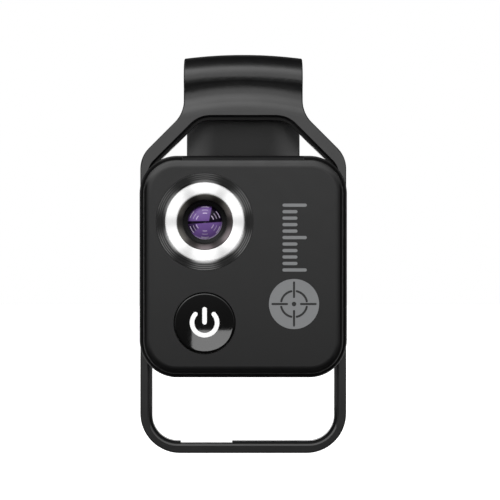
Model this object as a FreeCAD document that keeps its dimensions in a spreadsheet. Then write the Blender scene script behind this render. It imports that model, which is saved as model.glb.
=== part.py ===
"""Clip-on phone microscope lens: a one-piece spring clip with a lens module that slides in its loop.

Millimetres. X runs across the clip, Y from the lens side to the phone, Z up. The origin lies on the
clip's centre line, halfway up, in the plane of the loop's rear face, where the phone's glass rests.
"""
import FreeCAD, Part
import math
import os
import re
import Sketcher

# Driving sizes, in millimetres
SIZES = {
    # clip, seen from the front
    "clip_height": 80.8,
    "clip_width": 41.4,
    "loop_depth": 3.2,
    "loop_corner": 8.0,
    "bar_width": 1.8,
    "bar_chamfer": 0.35,
    "shoulder_drop": 0.5,
    "shoulder_bar": 2.76,
    "shoulder_round": 6.0,
    "flare_round": 6.0,
    "band_width": 24.0,
    "window_drop": 13.2,
    "window_top_round": 5.3,
    "window_side_round": 3.8,
    "window_foot_round": 5.7,
    "lip_reach": 0.55,
    "lip_setback": 0.9,
    "lip_thickness": 1.2,
    "notch_width": 10.4,
    "notch_depth": 0.4,
    "clip_edge_round": 0.25,
    "cut_overrun": 1.0,
    # clip, seen from the side
    "bend_wall": 2.2,
    "bend_front_round": 4.6,
    "bend_rear_round": 6.0,
    "bend_join_drop": 15.0,
    "step_drop": 11.0,
    "step_rise": 3.4,
    "step_back": 1.2,
    "step_round": 5.5,
    "step_inner_round": 1.4,
    "bend_lean": 2.0,
    "crown_drop": 0.8,
    "crown_overrun": 0.6,
    "step_crown_drop": 1.4,
    "arm_gap": 11.0,
    "arm_slope_length": 10.5,
    "arm_bend_round": 14.0,
    "arm_jaw_round": 3.0,
    "jaw_drop": 41.5,
    "jaw_length": 6.4,
    "jaw_opening": 6.0,
    "tip_length": 3.4,
    "tip_flare": 1.9,
    "tip_corner": 4.5,
    "pad_thickness": 1.4,
    "pad_width": 17.0,
    "pad_corner": 1.6,
    "pad_margin": 0.2,
    "pad_rib_depth": 0.4,
    "pad_rib_width": 0.7,
    "pad_rib_pitch": 1.28,
    # lens module, its shells
    "module_corner": 7.4,
    "module_top_gap": 8.34,
    "cover_inset": 0.95,
    "cover_depth": 3.2,
    "cover_round": 1.6,
    "cover_wall": 1.4,
    "shadow_gap": 0.2,
    "shadow_reach": 0.35,
    "spigot_depth": 1.0,
    "spigot_wall": 1.1,
    "shell_wall": 1.5,
    "shell_floor": 1.2,
    "shell_front_round": 0.4,
    "shell_rear_round": 0.7,
    "waist_inset": 2.2,
    "slide_gap": 0.2,
    "slide_side_gap": 0.25,
    "back_plate": 0.9,
    "back_plate_reach": 0.75,
    "back_edge_round": 0.3,
    "fit_gap": 0.1,
    # screws and their posts
    "screw_inset_x": 5.1,
    "screw_inset_z": 5.33,
    "post_radius": 2.0,
    "screw_radius": 0.7,
    "screw_tip_gap": 0.95,
    "screw_head_radius": 1.45,
    "screw_head_height": 0.75,
    "screw_gap": 0.15,
    "thread_gap": 0.03,
    "screw_slot_length": 1.7,
    "screw_slot_width": 0.4,
    "screw_slot_depth": 0.35,
    # lens stack, along its own axis
    "lens_from_side": 12.86,
    "lens_below_top": 13.03,
    "bezel_radius": 9.3,
    "bezel_bore": 7.7,
    "bezel_rise": 0.05,
    "bezel_seat": 1.0,
    "bezel_chamfer": 0.25,
    "bezel_land": 0.08,
    "bezel_groove_depth": 0.08,
    "diffuser_sink": 0.3,
    "diffuser_crown": 0.2,
    "diffuser_crown_round": 3.5,
    "diffuser_flange": 0.5,
    "diffuser_flange_reach": 0.55,
    "diffuser_round": 0.2,
    "barrel_radius": 5.35,
    "barrel_sink": 0.35,
    "barrel_land": 0.12,
    "barrel_cone": 0.9,
    "barrel_flange_radius": 6.9,
    "barrel_flange": 1.0,
    "barrel_tail_radius": 5.7,
    "glass_radius": 4.1,
    "lens_gap": 0.04,
    "aperture_radius": 2.2,
    "retainer_bore": 3.35,
    "retainer_length": 1.1,
    "retainer_cone": 0.45,
    "retainer_sink": 0.1,
    "objective_rim": 1.0,
    "objective_sphere": 5.6,
    "spacer_length": 1.0,
    "spacer_wall": 0.6,
    "second_rim": 1.0,
    "second_sphere": 14.0,
    "aperture_sheet": 0.3,
    "barrel_step": 0.8,
    "barrel_step_radius": 3.0,
    "rear_window_radius": 5.0,
    "rear_window_thickness": 0.8,
    "eyepiece_bore": 4.0,
    "eyepiece_ledge": 0.4,
    "eyepiece_pad_radius": 7.0,
    "eyepiece_pad_bore": 4.4,
    "eyepiece_pad_sink": 0.4,
    "eyepiece_pad_rise": 0.4,
    # boards and lamps
    "post_height": 5.6,
    "board_thickness": 0.8,
    "board_gap": 0.5,
    "lamp_board_thickness": 0.6,
    "lamp_board_radius": 8.3,
    "lamp_size": 1.5,
    "lamp_height": 0.7,
    "lamp_gap": 0.3,
    "lamp_circle": 6.75,
    "chip_thickness": 0.8,
    "chip_size": 4.0,
    "chip_pitch": 6.5,
    # power button and its switch
    "button_below_lens": 19.51,
    "button_above_foot": 10.86,
    "button_radius": 5.8,
    "button_gap": 0.2,
    "button_rise": 0.35,
    "button_crown": 0.2,
    "button_crown_round": 70.0,
    "button_edge_round": 0.45,
    "button_flange_reach": 0.9,
    "button_flange": 0.6,
    "button_post_radius": 1.6,
    "button_travel": 0.35,
    "switch_size": 6.0,
    "switch_height": 1.5,
    "switch_corner": 0.6,
    "plunger_radius": 1.35,
    "plunger_in_switch": 0.8,
    "plunger_rise": 0.5,
    "plunger_gap": 0.1,
    # charging socket
    "socket_width": 7.5,
    "socket_height": 2.8,
    "socket_depth": 5.5,
    "socket_corner": 0.9,
    "socket_wall": 0.3,
    "socket_sink": 0.3,
    "socket_gap": 0.3,
    "tongue_width": 4.8,
    "tongue_thickness": 0.6,
    "tongue_length": 3.6,
    # battery
    "battery_post_gap": 0.6,
    "battery_barrel_gap": 4.34,
    "battery_end_gap": 6.7,
    "battery_thickness": 4.0,
    "battery_round": 1.2,
    "battery_tape": 0.4,
}

# Sizes that follow from the driving ones
DERIVED = {
    "top": "clip_height / 2",
    "foot": "-clip_height / 2",
    "loop_half": "clip_width / 2",
    "band_half": "band_width / 2",
    "loop_front": "-loop_depth",
    "shoulder_peak": "top - shoulder_drop",
    "bend_join": "top - bend_join_drop",
    "crown_half": "shoulder_peak - bend_join + crown_overrun",
    "crown_scale": "(crown_half / band_half) ^ 2",
    "step_front": "loop_front + step_back",
    "step_low": "top - step_drop",
    "step_high": "step_low + step_rise",
    "step_angle": "atan(step_back / step_rise)",
    "lean_angle": "atan(bend_lean / (top - step_high))",
    "step_low_inner": "step_low - bend_wall * sin(step_angle)"
                      " + (loop_depth - bend_wall * cos(step_angle)) / tan(step_angle)",
    "step_in": "step_front + bend_wall * (cos(step_angle) + cos(lean_angle))"
               " / (1 + cos(step_angle + lean_angle))",
    "step_high_inner": "step_high - bend_wall * (sin(step_angle) - sin(lean_angle))"
                       " / (1 + cos(step_angle + lean_angle))",
    "bend_front": "step_front - bend_lean",
    "bend_in": "bend_front + bend_wall * (tan(lean_angle) + 1 / cos(lean_angle))",
    "arm_outer": "arm_gap + bend_wall",
    "jaw_face": "jaw_opening + pad_thickness",
    "jaw_top": "top - jaw_drop",
    "jaw_low": "jaw_top - jaw_length",
    "arm_bend": "jaw_top + arm_slope_length",
    "tip": "jaw_low - tip_length",
    "cut_depth": "arm_gap / 3",
    "window_half": "loop_half - bar_width",
    "window_top": "top - window_drop",
    "window_foot": "foot + bar_width",
    "window_peak": "shoulder_peak - shoulder_bar * sqrt(2)",
    "lip_front": "loop_front + lip_setback",
    "lip_rear": "lip_front + lip_thickness",
    "module_half": "window_half - lip_reach - slide_side_gap + waist_inset",
    "module_half_z": "(lens_below_top + button_below_lens + button_above_foot) / 2",
    "module_z": "window_top - module_top_gap - module_half_z",
    "housing_rear": "loop_front - slide_gap",
    "plate_front": "lip_rear + slide_gap",
    "plate_rear": "plate_front + back_plate",
    "shelf": "housing_rear - shell_floor",
    "floor": "plate_front - shell_floor",
    "board_rear": "floor - post_height",
    "board_front": "board_rear - board_thickness",
    "lamp_board_rear": "board_front - barrel_flange",
    "lamp_board_front": "lamp_board_rear - lamp_board_thickness",
    "diffuser_rear": "lamp_board_front - lamp_height - lamp_gap",
    "cover_inner": "diffuser_rear - diffuser_flange",
    "module_front": "cover_inner - cover_wall",
    "cover_rim": "module_front + cover_depth",
    "housing_front": "cover_rim + shadow_gap",
    "plate_inset": "waist_inset - back_plate_reach",
    "rebate_inset": "window_half - module_half + plate_inset - slide_side_gap",
    "screw_x": "module_half - screw_inset_x",
    "screw_z": "module_half_z - screw_inset_z",
    "screw_hole": "screw_radius + screw_gap",
    "screw_back": "plate_rear - fit_gap / 2",
    "screw_tip": "cover_inner + screw_tip_gap",
    "lens_x": "lens_from_side - module_half",
    "lens_above_middle": "module_half_z - lens_below_top",
    "lens_z": "module_z + lens_above_middle",
    "bezel_face": "module_front - bezel_rise",
    "bezel_floor": "module_front + bezel_seat",
    "diffuser_front": "module_front + diffuser_sink",
    "diffuser_bore": "barrel_radius + fit_gap",
    "diffuser_outer": "bezel_bore - fit_gap",
    "diffuser_flange_outer": "diffuser_outer + diffuser_flange_reach",
    "barrel_front": "module_front + barrel_sink",
    "barrel_bore": "glass_radius + lens_gap",
    "retainer_front": "barrel_front + barrel_cone + retainer_sink",
    "retainer_rear": "retainer_front + retainer_length",
    "objective_rear": "retainer_rear + objective_rim",
    "spacer_rear": "objective_rear + spacer_length",
    "second_rear": "spacer_rear + second_rim",
    "aperture_rear": "second_rear + aperture_sheet",
    "barrel_step_rear": "aperture_rear + barrel_step",
    "floor_bore": "eyepiece_bore + eyepiece_ledge",
    "button_z": "module_z - module_half_z + button_above_foot",
    "button_hole": "button_radius + button_gap",
    "button_face": "module_front - button_rise",
    "flange_front": "cover_inner + button_gap",
    "flange_rear": "flange_front + button_flange",
    "switch_front": "board_front - switch_height",
    "post_rear": "switch_front - plunger_rise",
    "plunger_rear": "switch_front + plunger_in_switch",
    "socket_foot": "socket_sink - module_half_z",
    "socket_y": "board_rear + socket_height / 2",
    "battery_rear": "floor - battery_tape",
    "battery_front": "battery_rear - battery_thickness",
    "battery_left": "lens_x + barrel_tail_radius + battery_barrel_gap",
    "battery_right": "screw_x - post_radius - battery_post_gap",
    "battery_x": "(battery_left + battery_right) / 2",
    "battery_half": "(battery_right - battery_left) / 2",
    "battery_half_z": "module_half_z - battery_end_gap",
}

# Counts, and the bezel groove's shape: shares of its pitch, each with a depth
BEZEL_GROOVES = 6
LAMPS = 8
PAD_RIBS = (-1.5, -0.5, 0.5, 1.5)
GROOVE_SHAPE = ((0, "0"), (0.35, "bezel_groove_depth"), (0.7, "0"))

# How near an edge lies to a level to count as on it
TOUCH = 0.01

document = FreeCAD.newDocument("phone_microscope")
sheet = document.addObject("Spreadsheet::Sheet", "Sizes")
for row, (alias, size) in enumerate(SIZES.items(), start=1):
    sheet.set("A%d" % row, str(size))
    sheet.setAlias("A%d" % row, alias)
document.recompute()
WORD = re.compile(r"[a-z_]+")


def expand(text):
    """Write a derived size out in driving sizes."""
    def written(match):
        name = match.group()
        return "(" + expand(DERIVED[name]) + ")" if name in DERIVED else name
    return WORD.sub(written, text)


def bound(text):
    """The same size as an expression that reads the sheet from another object."""
    def placed(match):
        name = match.group()
        return "Sizes." + name if name in SIZES else name
    return WORD.sub(placed, expand(text))


def value(text):
    """The same size as a number."""
    return float(sheet.evalExpression(expand(text)))


def less(size, inset):
    return "(%s) - (%s)" % (size, inset)


# Outlines: lists of corners (x, y, radius), where a radius of None leaves the corner sharp
def rectangle(half_x, half_y, radius, x="0", y="0"):
    return [("(%s) + (%s)" % (x, half_x), "(%s) + (%s)" % (y, half_y), radius),
            ("(%s) - (%s)" % (x, half_x), "(%s) + (%s)" % (y, half_y), radius),
            ("(%s) - (%s)" % (x, half_x), "(%s) - (%s)" % (y, half_y), radius),
            ("(%s) + (%s)" % (x, half_x), "(%s) - (%s)" % (y, half_y), radius)]


def module_outline(inset):
    """The module's rounded square, drawn in by an inset on each side."""
    return rectangle(less("module_half", inset), less("module_half_z", inset), less("module_corner", inset))


def disc(radius, x="0", y="0"):
    return (x, y, radius)


def mirrored(corners):
    return [("-(%s)" % x, y, radius) for x, y, radius in reversed(corners)]


def window_outline(inset):
    """The loop's opening: its straight sides, 45 degree shoulders and flat top, drawn in by an inset."""
    side = less("window_half", inset)
    peak = less("window_peak", "(%s) * sqrt(2)" % inset)
    roof = less("window_top", inset)
    right = [(side, "window_foot + (%s)" % inset, less("window_foot_round", inset)),
             (side, less(peak, side), less("window_side_round", inset)),
             (less(peak, roof), roof, less("window_top_round", inset))]
    return right + mirrored(right)


def draw_outline(sketch, corners):
    """Draw one closed outline of straight lines and corner arcs, held by its corner points."""
    count = len(corners)
    points = [FreeCAD.Vector(value(x), value(y), 0) for x, y, _ in corners]
    entries, exits, arcs = [], [], []
    for i, (_, _, radius) in enumerate(corners):
        point = points[i]
        back = (points[i - 1] - point).normalize()
        ahead = (points[(i + 1) % count] - point).normalize()
        if radius is None:
            entries.append(point)
            exits.append(point)
            arcs.append(None)
            continue
        half = back.getAngle(ahead) / 2
        reach = value(radius) / math.tan(half)
        centre = point + (back + ahead).normalize() * (value(radius) / math.sin(half))
        entries.append(point + back * reach)
        exits.append(point + ahead * reach)
        turns_left = back.cross(ahead).z < 0
        ends = [exits[i], entries[i]] if not turns_left else [entries[i], exits[i]]
        angles = [math.atan2(end.y - centre.y, end.x - centre.x) for end in ends]
        if angles[1] < angles[0]:
            angles[1] += 2 * math.pi
        circle = Part.Circle(centre, FreeCAD.Vector(0, 0, 1), value(radius))
        arcs.append((Part.ArcOfCircle(circle, angles[0], angles[1]), turns_left))
    lines = [sketch.addGeometry(Part.LineSegment(exits[i], entries[(i + 1) % count]), False)
             for i in range(count)]
    rules, sizes = [], []

    def hold(rule, text):
        sizes.append((len(rules), text))
        rules.append(rule)

    for i, (x, y, radius) in enumerate(corners):
        if radius is None:
            rules.append(Sketcher.Constraint("Coincident", lines[i - 1], 2, lines[i], 1))
            held = lines[i]
        else:
            curve, turns_left = arcs[i]
            arc = sketch.addGeometry(curve, False)
            first, last = (1, 2) if turns_left else (2, 1)
            rules.append(Sketcher.Constraint("Tangent", lines[i - 1], 2, arc, first))
            rules.append(Sketcher.Constraint("Tangent", arc, last, lines[i], 1))
            hold(Sketcher.Constraint("Radius", arc, value(radius)), radius)
            held = sketch.addGeometry(Part.Point(points[i]), True)
            rules.append(Sketcher.Constraint("PointOnObject", held, 1, lines[i - 1]))
            rules.append(Sketcher.Constraint("PointOnObject", held, 1, lines[i]))
        hold(Sketcher.Constraint("DistanceX", -1, 1, held, 1, points[i].x), x)
        hold(Sketcher.Constraint("DistanceY", -1, 1, held, 1, points[i].y), y)
    add_rules(sketch, rules, sizes)


def draw_disc(sketch, round_outline):
    x, y, radius = round_outline
    centre = FreeCAD.Vector(value(x), value(y), 0)
    circle = sketch.addGeometry(Part.Circle(centre, FreeCAD.Vector(0, 0, 1), value(radius)), False)
    rules = [Sketcher.Constraint("Radius", circle, value(radius)),
             Sketcher.Constraint("DistanceX", -1, 1, circle, 3, centre.x),
             Sketcher.Constraint("DistanceY", -1, 1, circle, 3, centre.y)]
    add_rules(sketch, rules, [(0, radius), (1, x), (2, y)])


def add_rules(sketch, rules, sizes):
    """Add constraints and bind those that carry a size to the sheet."""
    start = sketch.ConstraintCount
    sketch.addConstraint(rules)
    for index, text in sizes:
        sketch.setExpression("Constraints[%d]" % (start + index), bound(text))


# Views that a sketch is drawn in: its plane, and the sense of its normal along the plane's axis
VIEWS = {"front": ("XZ_Plane", -1), "side": ("YZ_Plane", 1), "level": ("XY_Plane", 1)}


def new_body(label, x="0", y="0", z="0"):
    """A sub-part, placed at a point of the clip."""
    body = document.addObject("PartDesign::Body", label)
    body.Label = label
    for axis, text in zip("xyz", (x, y, z)):
        body.setExpression("Placement.Base." + axis, bound(text))
    return body


def new_sketch(body, view, level, outlines):
    role, sense = VIEWS[view]
    sketch = body.newObject("Sketcher::SketchObject", body.Label + "_sketch")
    plane = next(item for item in body.Origin.OriginFeatures if item.Role == role)
    sketch.AttachmentSupport = [(plane, "")]
    sketch.MapMode = "FlatFace"
    sketch.setExpression("AttachmentOffset.Base.z", bound("%d * (%s)" % (sense, level)))
    for item in outlines:
        if isinstance(item, tuple):
            draw_disc(sketch, item)
        else:
            draw_outline(sketch, item)
    sketch.Visibility = False
    return sketch


def extrude(body, view, outlines, start, end, kind="Pad"):
    """Pad or pocket outlines from one level of a view to another."""
    sketch = new_sketch(body, view, start, outlines)
    feature = body.newObject("PartDesign::" + kind, "%s_%s" % (body.Label, kind.lower()))
    feature.Profile = sketch
    with_normal = (value(end) - value(start)) * VIEWS[view][1] > 0
    feature.Reversed = with_normal == (kind == "Pocket")
    feature.setExpression("Length", bound("abs((%s) - (%s))" % (end, start)))
    return feature


def turn(body, corners, kind="Revolution"):
    """Turn a profile (radius, y, corner radius) about the body's own Y axis."""
    sketch = new_sketch(body, "level", "0", [corners])
    feature = body.newObject("PartDesign::" + kind, "%s_%s" % (body.Label, kind.lower()))
    feature.Profile = sketch
    feature.ReferenceAxis = (sketch, ["V_Axis"])
    feature.Angle = 360
    return feature


def dress(body, kind, size, wanted):
    """Fillet or chamfer the edges that a test picks from the body as it stands."""
    document.recompute()
    base = body.Tip
    names = ["Edge%d" % (i + 1) for i, edge in enumerate(base.Shape.Edges) if wanted(edge)]
    feature = body.newObject("PartDesign::" + kind, "%s_%s" % (body.Label, kind.lower()))
    feature.Base = (base, names)
    feature.setExpression("Radius" if kind == "Fillet" else "Size", bound(size))
    return feature


def lies_at(edge, level, axis="Y"):
    """True for an edge that lies in the plane at one level of an axis."""
    box = edge.BoundBox
    low, high = getattr(box, axis + "Min"), getattr(box, axis + "Max")
    return abs(low - value(level)) < TOUCH and abs(high - value(level)) < TOUCH


# Spring clip: the loop, the bend over the phone's edge and the rear arm, moulded as one piece
def bend_section(scale):
    """The bend's closed section, lowered by a share of the crown."""
    roof = "top - crown_drop * (%s)" % scale
    low = "step_crown_drop * (%s)" % scale
    return [("loop_front", "bend_join", None),
            ("loop_front", "step_low - " + low, "step_round"),
            ("step_front", "step_high - " + low, "step_round"),
            ("bend_front", roof, "bend_front_round"),
            ("arm_outer", roof, "bend_rear_round"),
            ("arm_outer", "bend_join", None),
            ("arm_gap", "bend_join", None),
            ("arm_gap", less(roof, "bend_wall"), "bend_rear_round - bend_wall"),
            ("bend_in", less(roof, "bend_wall"), "bend_front_round - bend_wall"),
            ("step_in", "step_high_inner - " + low, "step_inner_round"),
            ("0", "step_low_inner - " + low, "step_inner_round"),
            ("0", "bend_join", None)]


def arm_section():
    """The rear arm from the bend down: straight, in to the jaw, and out again at the tip."""
    return [("arm_gap", "bend_join", None),
            ("arm_gap", "arm_bend", "arm_bend_round"),
            ("jaw_face", "jaw_top", "arm_jaw_round"),
            ("jaw_face", "jaw_low", "arm_jaw_round"),
            ("jaw_face + tip_flare", "tip", None),
            ("jaw_face + tip_flare + bend_wall", "tip", None),
            ("jaw_face + bend_wall", "jaw_low", "arm_jaw_round"),
            ("jaw_face + bend_wall", "jaw_top", "arm_jaw_round"),
            ("arm_outer", "arm_bend", "arm_bend_round"),
            ("arm_outer", "bend_join", None)]


def make_clip_frame():
    body = new_body("clip_frame")
    right = [("loop_half", "foot", "loop_corner"),
             ("loop_half", "shoulder_peak - loop_half", "shoulder_round"),
             ("shoulder_peak - bend_join", "bend_join", None)]
    extrude(body, "front", [right + mirrored(right)], "0", "loop_front")
    places = (("-crown_half", "crown_scale"), ("0", "0"), ("crown_half", "crown_scale"))
    sections = [new_sketch(body, "side", place, [bend_section(scale)]) for place, scale in places]
    bend = body.newObject("PartDesign::AdditiveLoft", "clip_frame_bend")
    bend.Profile = sections[0]
    bend.Sections = sections[1:]
    past_side, past_top = "crown_half + cut_overrun", "top + cut_overrun"
    flank = [("shoulder_peak - bend_join", "bend_join", None),
             (past_side, "bend_join", None),
             (past_side, past_top, None),
             ("band_half", past_top, None),
             ("band_half", "shoulder_peak - band_half", "flare_round")]
    extrude(body, "front", [flank, mirrored(flank)], "loop_front - cut_overrun", "cut_depth", "Pocket")
    rear_flank = [("band_half", "bend_join - cut_overrun", None),
                  (past_side, "bend_join - cut_overrun", None),
                  (past_side, past_top, None),
                  ("band_half", past_top, None)]
    extrude(body, "front", [rear_flank, mirrored(rear_flank)], "cut_depth", "arm_outer + cut_overrun",
            "Pocket")
    extrude(body, "side", [arm_section()], "-band_half", "band_half")
    extrude(body, "front", [window_outline("0")], "loop_front", "lip_front", "Pocket")
    extrude(body, "front", [window_outline("lip_reach")], "lip_front", "lip_rear", "Pocket")
    extrude(body, "front", [window_outline("rebate_inset")], "lip_rear", "0", "Pocket")
    notch = rectangle("notch_width / 2", "notch_depth", None, "lens_x", "window_foot + lip_reach")
    extrude(body, "front", [notch], "lip_front", "lip_rear", "Pocket")
    dress(body, "Chamfer", "bar_chamfer", lambda edge: lies_at(edge, "loop_front")
          and inside_loop(edge) and not isinstance(edge.Curve, Part.BSplineCurve))
    dress(body, "Fillet", "tip_corner", tip_edge)
    dress(body, "Fillet", "clip_edge_round", outer_edge)
    return body


def inside_loop(edge):
    """True for an edge that lies well inside the loop's outline."""
    box = edge.BoundBox
    reach = max(abs(box.XMin), abs(box.XMax))
    return (reach < value("window_half") + TOUCH and box.ZMax < value("window_top") + TOUCH
            and box.ZMin > value("window_foot") - TOUCH)


def tip_edge(edge):
    """True for the two short edges across the arm's wall at its tip."""
    box = edge.BoundBox
    return (lies_at(edge, "tip", "Z") and abs(abs(box.Center.x) - value("band_half")) < TOUCH)


def outer_edge(edge):
    """True for the long edges of the loop, the band and the arm."""
    box = edge.BoundBox
    reach = max(abs(box.XMin), abs(box.XMax))
    outside = reach > value("(loop_half + window_half) / 2")
    on_loop = (lies_at(edge, "loop_front") or lies_at(edge, "0")) and outside
    low = lies_at(edge, "foot", "Z")
    return on_loop and (box.ZMax < value("bend_join") - TOUCH or low)


def make_jaw_pad():
    """Ribbed soft pad on the arm's jaw."""
    body = new_body("jaw_pad", z="(jaw_top + jaw_low) / 2")
    face = rectangle("pad_width / 2", "jaw_length / 2 - pad_margin", "pad_corner")
    extrude(body, "front", [face], "jaw_face", "jaw_opening + pad_rib_depth")
    for step in PAD_RIBS:
        rib = rectangle("pad_width / 2 - pad_corner", "pad_rib_width / 2", None,
                        y="%g * pad_rib_pitch" % step)
        extrude(body, "front", [rib], "jaw_opening + pad_rib_depth", "jaw_opening")
    return body


# Lens module: its shells, all drawn about the module's middle
SCREW_PLACES = [(x, z) for x in ("screw_x", "-screw_x") for z in ("screw_z", "-screw_z")]


def make_main_housing():
    body = new_body("main_housing", z="module_z")
    extrude(body, "front", [module_outline("0")], "housing_rear", "housing_front")
    extrude(body, "front", [module_outline("waist_inset")], "plate_front", "housing_rear")
    dress(body, "Fillet", "shell_front_round", lambda edge: lies_at(edge, "housing_front"))
    dress(body, "Fillet", "shell_rear_round",
          lambda edge: lies_at(edge, "housing_rear") and on_rim(edge))
    extrude(body, "front", [module_outline("shell_wall")], "housing_front", "shelf", "Pocket")
    extrude(body, "front", [module_outline("waist_inset + shell_wall")],
            "shelf", "floor", "Pocket")
    extrude(body, "front", [disc("post_radius", x, z) for x, z in SCREW_PLACES], "floor", "board_rear")
    extrude(body, "front", [disc("screw_hole", x, z) for x, z in SCREW_PLACES],
            "board_rear", "plate_front", "Pocket")
    extrude(body, "front", [disc("floor_bore", "lens_x", "lens_above_middle")],
            "floor", "plate_front", "Pocket")
    extrude(body, "front", [disc("rear_window_radius + fit_gap", "lens_x", "lens_above_middle")],
            "plate_front - rear_window_thickness", "plate_front", "Pocket")
    mouth = rectangle("socket_width / 2 + socket_gap", "socket_height / 2 + socket_gap",
                      "socket_corner + socket_gap", "lens_x", "socket_y")
    extrude(body, "level", [mouth], "-module_half_z - cut_overrun",
            "shell_wall + cut_overrun - module_half_z", "Pocket")
    return body


def on_rim(edge):
    """True for an edge on the module's outline."""
    box = edge.BoundBox
    reach_x = max(abs(box.XMin), abs(box.XMax))
    reach_z = max(abs(box.ZMin), abs(box.ZMax))
    return (abs(reach_x - value("module_half")) < TOUCH or abs(reach_z - value("module_half_z")) < TOUCH)


def make_front_cover():
    body = new_body("front_cover", z="module_z")
    extrude(body, "front", [module_outline("cover_inset")], "cover_rim", "module_front")
    dress(body, "Fillet", "cover_round", lambda edge: lies_at(edge, "module_front"))
    spigot = "shell_wall + fit_gap"
    inside = module_outline(spigot + " + spigot_wall")
    land = module_outline("cover_inset + shadow_reach")
    extrude(body, "front", [land], "housing_front", "cover_rim")
    extrude(body, "front", [module_outline(spigot)], "housing_front + spigot_depth", "housing_front")
    extrude(body, "front", [inside], "housing_front + spigot_depth", "cover_inner", "Pocket")
    extrude(body, "front", [disc("post_radius", x, z) for x, z in SCREW_PLACES],
            "board_front", "cover_inner")
    extrude(body, "front", [disc("screw_radius + thread_gap", x, z) for x, z in SCREW_PLACES],
            "board_front", "cover_inner", "Pocket")
    lens_place = ("lens_x", "lens_above_middle")
    button_place = ("lens_x", "button_above_foot - module_half_z")
    extrude(body, "front", [disc("bezel_bore + fit_gap", *lens_place), disc("button_hole", *button_place)],
            "module_front", "cover_inner", "Pocket")
    extrude(body, "front", [disc("bezel_radius + fit_gap", *lens_place)], "module_front", "bezel_floor",
            "Pocket")
    return body


def make_back_cover():
    body = new_body("back_cover", z="module_z")
    extrude(body, "front", [module_outline("plate_inset")], "plate_rear", "plate_front")
    dress(body, "Fillet", "back_edge_round", lambda edge: lies_at(edge, "plate_rear"))
    extrude(body, "front", [disc("screw_hole", x, z) for x, z in SCREW_PLACES],
            "plate_rear", "plate_front", "Pocket")
    dress(body, "Chamfer", "screw_head_height", lambda edge: lies_at(edge, "plate_rear")
          and isinstance(edge.Curve, Part.Circle) and abs(edge.Curve.Radius - value("screw_hole")) < TOUCH)
    extrude(body, "front", [disc("eyepiece_bore", "lens_x", "lens_above_middle")],
            "plate_rear", "plate_front", "Pocket")
    extrude(body, "front", [disc("eyepiece_pad_radius + fit_gap / 2", "lens_x", "lens_above_middle")],
            "plate_rear", "plate_rear - eyepiece_pad_sink", "Pocket")
    return body


def make_screws():
    """Countersunk screws that run from the back cover, through the boards' level, into the front cover."""
    body = new_body("housing_screws", z="module_z")
    body.AllowCompound = True
    under_head = "screw_back - screw_head_height"
    extrude(body, "front", [disc("screw_head_radius", x, z) for x, z in SCREW_PLACES],
            "screw_back", under_head)
    dress(body, "Chamfer", "screw_head_height - fit_gap / 2", lambda edge: lies_at(edge, under_head))
    extrude(body, "front", [disc("screw_radius", x, z) for x, z in SCREW_PLACES],
            under_head, "screw_tip")
    for half_x, half_z in (("screw_slot_length / 2", "screw_slot_width / 2"),
                           ("screw_slot_width / 2", "screw_slot_length / 2")):
        slots = [rectangle(half_x, half_z, None, x, z) for x, z in SCREW_PLACES]
        extrude(body, "front", slots, "screw_back - screw_slot_depth", "screw_back", "Pocket")
    return body


# Lens stack: turned pieces, each drawn as a profile about the lens axis
def lens_body(label):
    return new_body(label, x="lens_x", z="lens_z")


def make_bezel_ring():
    """Turned ring round the lamp, with fine concentric grooves in its face."""
    body = lens_body("bezel_ring")
    corners = [("bezel_bore", "bezel_floor", None),
               ("bezel_radius", "bezel_floor", None),
               ("bezel_radius", "bezel_face", None)]
    pitch = "(bezel_radius - bezel_bore - bezel_chamfer - bezel_land) / %d" % BEZEL_GROOVES
    for i in range(BEZEL_GROOVES):
        for share, depth in GROOVE_SHAPE:
            corners.append(("bezel_radius - bezel_land - %g * (%s)" % (i + share, pitch),
                            "bezel_face + " + depth, None))
    corners += [("bezel_bore + bezel_chamfer", "bezel_face", None),
                ("bezel_bore", "bezel_face + bezel_chamfer", None)]
    turn(body, corners)
    return body


def make_light_ring():
    """Translucent diffuser over the lamps, with a flange behind the front cover."""
    body = lens_body("light_ring")
    turn(body, [("diffuser_bore", "diffuser_front", "diffuser_round"),
                ("(diffuser_bore + diffuser_outer) / 2", "diffuser_front - diffuser_crown",
                 "diffuser_crown_round"),
                ("diffuser_outer", "diffuser_front", "diffuser_round"),
                ("diffuser_outer", "cover_inner", None),
                ("diffuser_flange_outer", "cover_inner", None),
                ("diffuser_flange_outer", "diffuser_rear", None),
                ("diffuser_bore", "diffuser_rear", None)])
    return body


def make_lens_barrel():
    body = lens_body("lens_barrel")
    turn(body, [("barrel_radius", "barrel_front", None),
                ("barrel_radius - barrel_land", "barrel_front", None),
                ("barrel_bore", "barrel_front + barrel_cone", None),
                ("barrel_bore", "aperture_rear", None),
                ("barrel_step_radius", "aperture_rear", None),
                ("barrel_step_radius", "barrel_step_rear", None),
                ("floor_bore", "floor", None),
                ("barrel_tail_radius", "floor", None),
                ("barrel_tail_radius", "board_front", None),
                ("barrel_flange_radius", "board_front", None),
                ("barrel_flange_radius", "lamp_board_rear", None),
                ("barrel_radius", "lamp_board_rear", None)])
    return body


def turned_ring(label, bore, radius, front, rear):
    """A plain ring of the lens stack."""
    body = lens_body(label)
    turn(body, [(bore, front, None), (radius, front, None), (radius, rear, None), (bore, rear, None)])
    return body


def make_lens_retainer():
    """Screwed ring that holds the front lens, its face coned in towards the glass."""
    body = lens_body("lens_retainer")
    turn(body, [("glass_radius", "retainer_front", None),
                ("glass_radius", "retainer_rear", None),
                ("retainer_bore", "retainer_rear", None),
                ("retainer_bore", "retainer_front + retainer_cone", None)])
    return body


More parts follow.
